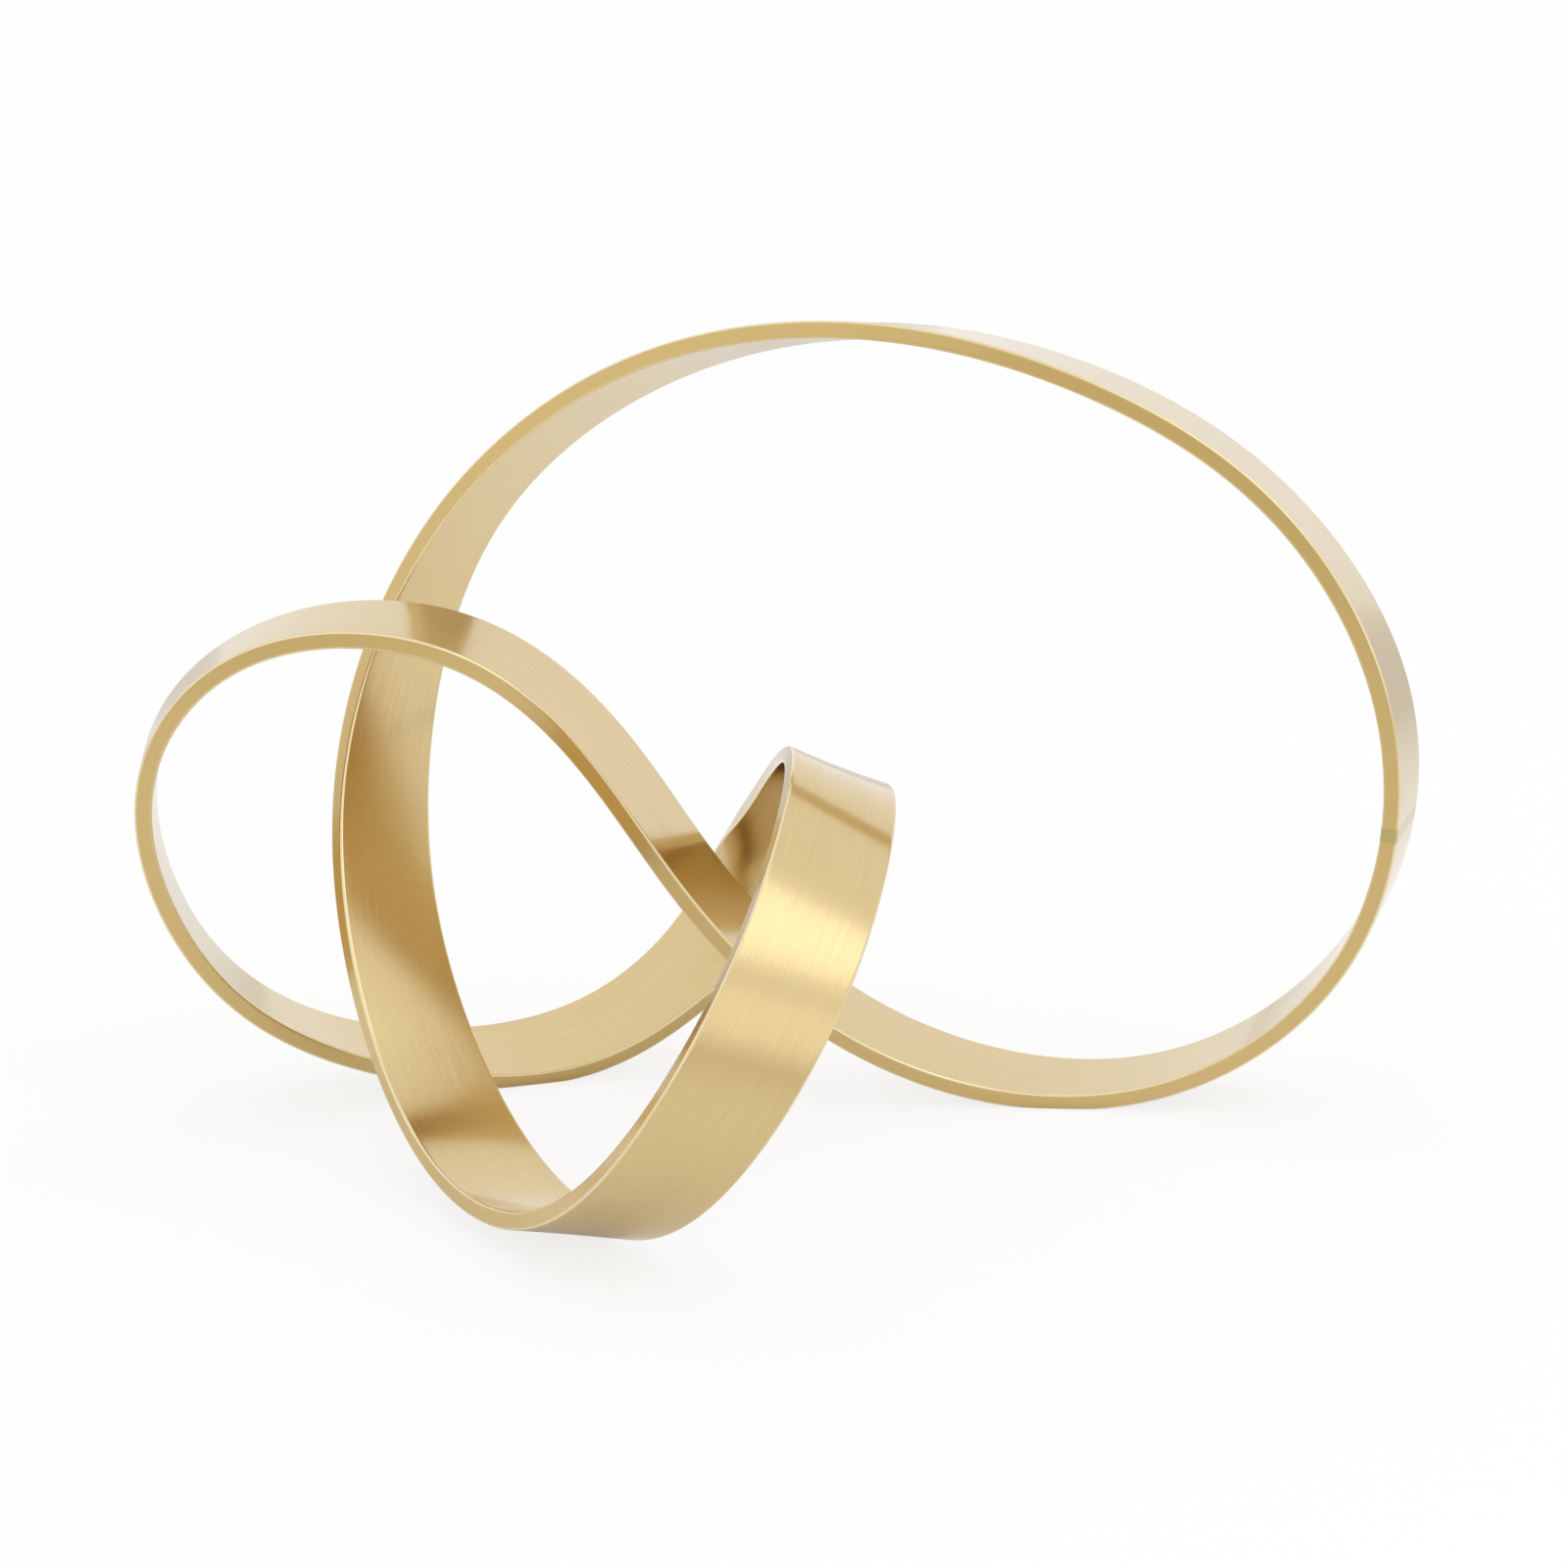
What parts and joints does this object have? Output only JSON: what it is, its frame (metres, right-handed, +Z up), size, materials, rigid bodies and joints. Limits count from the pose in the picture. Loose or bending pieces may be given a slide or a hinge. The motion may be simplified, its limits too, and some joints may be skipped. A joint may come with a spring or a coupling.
{
  "type": "metal knot sculpture",
  "caption": "Tabletop sculpture: one endless band of satin brass flat bar bent into an open knot of loops that stands on its own curves.",
  "frame": {"origin": "on the floor, under the middle of the sculpture's bounding box", "axes": "+X to the viewer's right along the longest extent, +Y away from the viewer, +Z up"},
  "size_m": [0.3755, 0.2169, 0.2333],
  "materials": {
    "brass": "satin, brushed along the bar",
    "weld_metal": "ground flush and brushed"
  },
  "bodies": {
    "root": {"big_loop_bar": "brass", "front_strap_bar": "brass", "back_link_bar": "brass", "left_loop_bar": "brass", "cross_link_bar": "brass", "loop_base_bar": "brass", "closing_weld": "weld_metal", "upper_left_weld": "weld_metal", "small_loop_weld": "weld_metal", "lower_left_weld": "weld_metal", "shoulder_weld": "weld_metal", "cross_link_weld": "weld_metal"}
  },
  "joints": []
}
